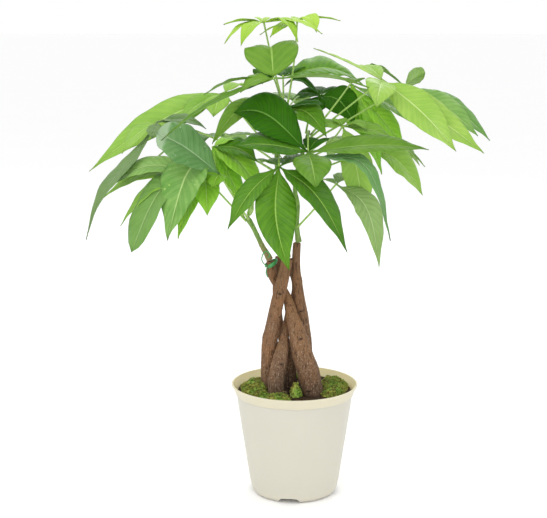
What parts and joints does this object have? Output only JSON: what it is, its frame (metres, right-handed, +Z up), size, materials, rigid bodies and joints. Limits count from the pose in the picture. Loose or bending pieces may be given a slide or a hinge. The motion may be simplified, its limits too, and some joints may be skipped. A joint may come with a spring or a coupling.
{
  "type": "potted money tree",
  "caption": "Money tree house plant with plaited stems and drooping hand-shaped leaves, growing in a round tapered nursery pot filled with soil and moss.",
  "frame": {"origin": "middle of the pot's underside, on the ground", "axes": "+Z up along the pot's axis; +X to the right and -Y towards the front, the side that the plant is seen from"},
  "size_m": [0.468, 0.3175, 0.5647],
  "materials": {
    "pot": "satin cream polypropylene with a soft sheen",
    "soil": "matt gritty dark potting soil",
    "moss": "matt green moss with brown bits",
    "bark": "matt brown bark with fine upright flecks",
    "shoot": "satin green young wood",
    "tie": "satin green covering over wire",
    "leaf_dark": "glossy dark green leaf",
    "leaf_mid": "glossy mid green leaf",
    "leaf_bright": "glossy bright green leaf",
    "leaf_pale": "soft pale yellow-green leaf",
    "leaf_young": "soft young yellow-green leaf",
    "leaf_grey": "greyish green leaf",
    "fibre": "dry pale grass"
  },
  "bodies": {
    "root": {"pot": "pot", "soil": "soil", "moss_left": "moss", "moss_right": "moss", "moss_front": "moss", "moss_middle": "moss", "moss_back": "moss", "stem_left": "bark", "stem_front": "bark", "stem_right": "bark", "stem_back_right": "bark", "stem_back": "bark", "shoot_centre": "shoot", "shoot_right": "shoot", "shoot_left": "shoot", "bud_left": "leaf_pale", "twist_tie": "tie", "grass_fibre": "fibre", "leaf_top_left": "leaf_young", "leaf_top_right": "leaf_young", "leaf_crown_front": "leaf_mid", "leaf_crown_back": "leaf_dark", "leaf_right_pale": "leaf_pale", "leaf_right_outer": "leaf_mid", "leaf_right_olive": "leaf_mid", "leaf_right_low": "leaf_mid", "leaf_right_hanging": "leaf_pale", "leaf_centre_dark": "leaf_dark", "leaf_centre_front": "leaf_bright", "leaf_left_bluish": "leaf_dark", "leaf_left_inner": "leaf_bright", "leaf_left_front": "leaf_bright", "leaf_left_far": "leaf_mid", "leaf_left_upper": "leaf_pale", "leaf_crown_middle": "leaf_dark", "leaf_crown_right": "leaf_dark", "leaf_right_slender": "leaf_grey", "leaf_back_left": "leaf_mid", "leaf_back_right": "leaf_mid", "leaf_back_upper": "leaf_mid"}
  },
  "joints": []
}
